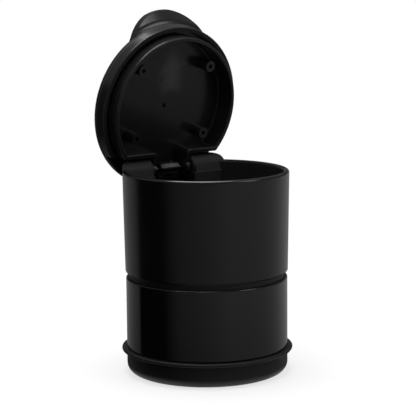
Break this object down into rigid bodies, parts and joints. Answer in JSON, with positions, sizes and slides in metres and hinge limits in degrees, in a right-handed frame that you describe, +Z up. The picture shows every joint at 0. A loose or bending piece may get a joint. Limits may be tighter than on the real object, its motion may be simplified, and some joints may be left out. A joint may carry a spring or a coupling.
{
  "type": "car ashtray",
  "caption": "Round black ashtray for a car cup holder: tall split cup on a rubber boot, with a sprung hinged lid that has a flared thumb tab.",
  "frame": {"origin": "centre of the boot's underside", "axes": "+Z up the cup, +Y toward the lid hinge, -Y toward the thumb tab when the lid is shut"},
  "size_m": [0.0724, 0.0728, 0.1516],
  "materials": {
    "satin_black": "satin",
    "gloss_black": "gloss",
    "boot_rubber": "matte",
    "spring_steel": "satin"
  },
  "bodies": {
    "cup": {"upper_body": "satin_black", "lower_body": "gloss_black", "base_boot": "boot_rubber", "hinge_pin": "spring_steel", "torsion_spring": "spring_steel"},
    "lid": {"lid": "satin_black"}
  },
  "joints": [
    {"name": "lid_hinge", "type": "hinge", "parent": "cup", "child": "lid", "pos_m": [0, 0.0263, 0.0837], "axis": [1, 0, 0], "range_deg": [0, 79.4], "stiffness_Nm_per_rad": 0.004, "springref_deg": -57.3, "deforming": ["torsion_spring"]}
  ]
}
